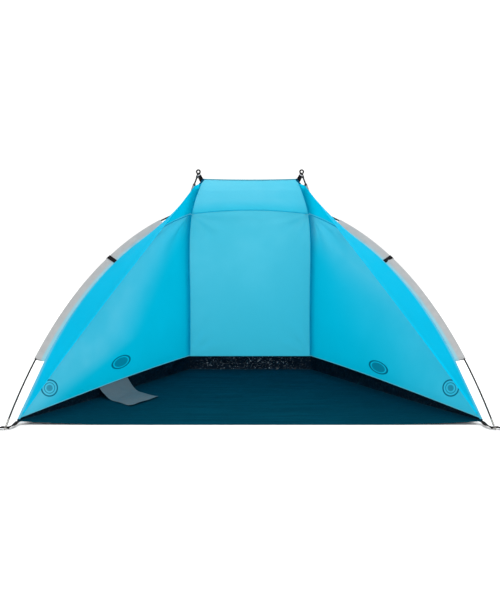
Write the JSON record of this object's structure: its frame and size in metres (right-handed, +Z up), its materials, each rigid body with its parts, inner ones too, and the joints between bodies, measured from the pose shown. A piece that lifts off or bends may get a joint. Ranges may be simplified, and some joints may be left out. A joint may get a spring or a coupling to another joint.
{
  "type": "beach tent",
  "caption": "Low open-fronted beach shelter of thin cloth on jointed bending poles, with a sewn-in ground sheet and webbing peg loops at its corners.",
  "frame": {"origin": "middle of the whole footprint, on the ground", "axes": "+X to the right as seen from the open side, +Y towards the rear wall, +Z up; the open side faces -Y"},
  "size_m": [2.4764, 1.3776, 1.2146],
  "materials": {
    "wall_cloth": "thin woven polyester with a soft sheen",
    "hood_cloth": "thin woven polyester with a soft sheen",
    "skirt_sheeting": "coated sheeting, slightly shiny",
    "floor_sheeting": "coated woven sheeting",
    "sleeve_cloth": "thin woven polyester, matte",
    "webbing": "woven tape",
    "elastic_cord": "braided elastic",
    "ferrule_metal": "drawn tube",
    "glass_fibre": "pultruded resin rod, satin",
    "tip_metal": "turned and swaged",
    "eyelet_metal": "black lacquer",
    "cap_plastic": "moulded, satin"
  },
  "bodies": {
    "shelter": {"floor_sheet": "floor_sheeting", "ground_skirt": "skirt_sheeting", "hoop_ferrule_1": "ferrule_metal", "hoop_ferrule_2": "ferrule_metal", "hoop_ferrule_3": "ferrule_metal", "hoop_ferrule_4": "ferrule_metal", "hoop_ferrule_5": "ferrule_metal", "hoop_section_1": "glass_fibre", "hoop_section_2": "glass_fibre", "hoop_section_3": "glass_fibre", "hoop_section_4": "glass_fibre", "hoop_section_5": "glass_fibre", "hoop_section_6": "glass_fibre", "hoop_shock_cord": "elastic_cord", "left_corner_cap": "cap_plastic", "left_corner_tab": "webbing", "left_crossing_clip": "cap_plastic", "left_crossing_tape": "webbing", "left_front_eyelet": "eyelet_metal", "left_front_sleeve": "sleeve_cloth", "left_front_strap": "webbing", "left_hood_panel": "hood_cloth", "left_hoop_tip": "tip_metal", "left_rear_eyelet": "eyelet_metal", "left_rear_pole_ferrule_1": "ferrule_metal", "left_rear_pole_section_1": "glass_fibre", "left_rear_pole_section_2": "glass_fibre", "left_rear_pole_shock_cord": "elastic_cord", "left_rear_sleeve": "sleeve_cloth", "left_rear_strap": "webbing", "left_rear_tip": "tip_metal", "left_side_wall": "wall_cloth", "left_sleeve_band": "webbing", "rear_wall": "wall_cloth", "right_corner_cap": "cap_plastic", "right_corner_tab": "webbing", "right_crossing_clip": "cap_plastic", "right_crossing_tape": "webbing", "right_front_eyelet": "eyelet_metal", "right_front_sleeve": "sleeve_cloth", "right_front_strap": "webbing", "right_hood_panel": "hood_cloth", "right_hoop_tip": "tip_metal", "right_rear_eyelet": "eyelet_metal", "right_rear_pole_ferrule_1": "ferrule_metal", "right_rear_pole_section_1": "glass_fibre", "right_rear_pole_section_2": "glass_fibre", "right_rear_pole_shock_cord": "elastic_cord", "right_rear_sleeve": "sleeve_cloth", "right_rear_strap": "webbing", "right_rear_tip": "tip_metal", "right_side_wall": "wall_cloth", "right_sleeve_band": "webbing", "roof_panel": "hood_cloth"},
    "flap": {"floor_flap": "sleeve_cloth"},
    "left_front_loop": {"left_front_peg_loop": "webbing"},
    "right_front_loop": {"right_front_peg_loop": "webbing"},
    "left_rear_loop": {"left_rear_peg_loop": "webbing"},
    "right_rear_loop": {"right_rear_peg_loop": "webbing"}
  },
  "joints": [
    {"name": "flap_lift", "type": "hinge", "parent": "shelter", "child": "flap", "pos_m": [-0.80473, -0.11276, 0.05936], "axis": [-0.5139, -0.8566, -0.0463], "range_deg": [0, 75]},
    {"name": "left_front_loop_lift", "type": "hinge", "parent": "shelter", "child": "left_front_loop", "pos_m": [-1.17669, -0.67416, 0.0032], "axis": [0.1056, 0.9944, 0], "range_deg": [0, 80]},
    {"name": "right_front_loop_lift", "type": "hinge", "parent": "shelter", "child": "right_front_loop", "pos_m": [1.17669, -0.67416, 0.0032], "axis": [0.1056, -0.9944, 0], "range_deg": [0, 80]},
    {"name": "left_rear_loop_lift", "type": "hinge", "parent": "shelter", "child": "left_rear_loop", "pos_m": [-0.44131, 0.64721, 0.0032], "axis": [0.5999, 0.8, 0], "range_deg": [0, 80]},
    {"name": "right_rear_loop_lift", "type": "hinge", "parent": "shelter", "child": "right_rear_loop", "pos_m": [0.44131, 0.64721, 0.0032], "axis": [0.5999, -0.8, 0], "range_deg": [0, 80]}
  ]
}
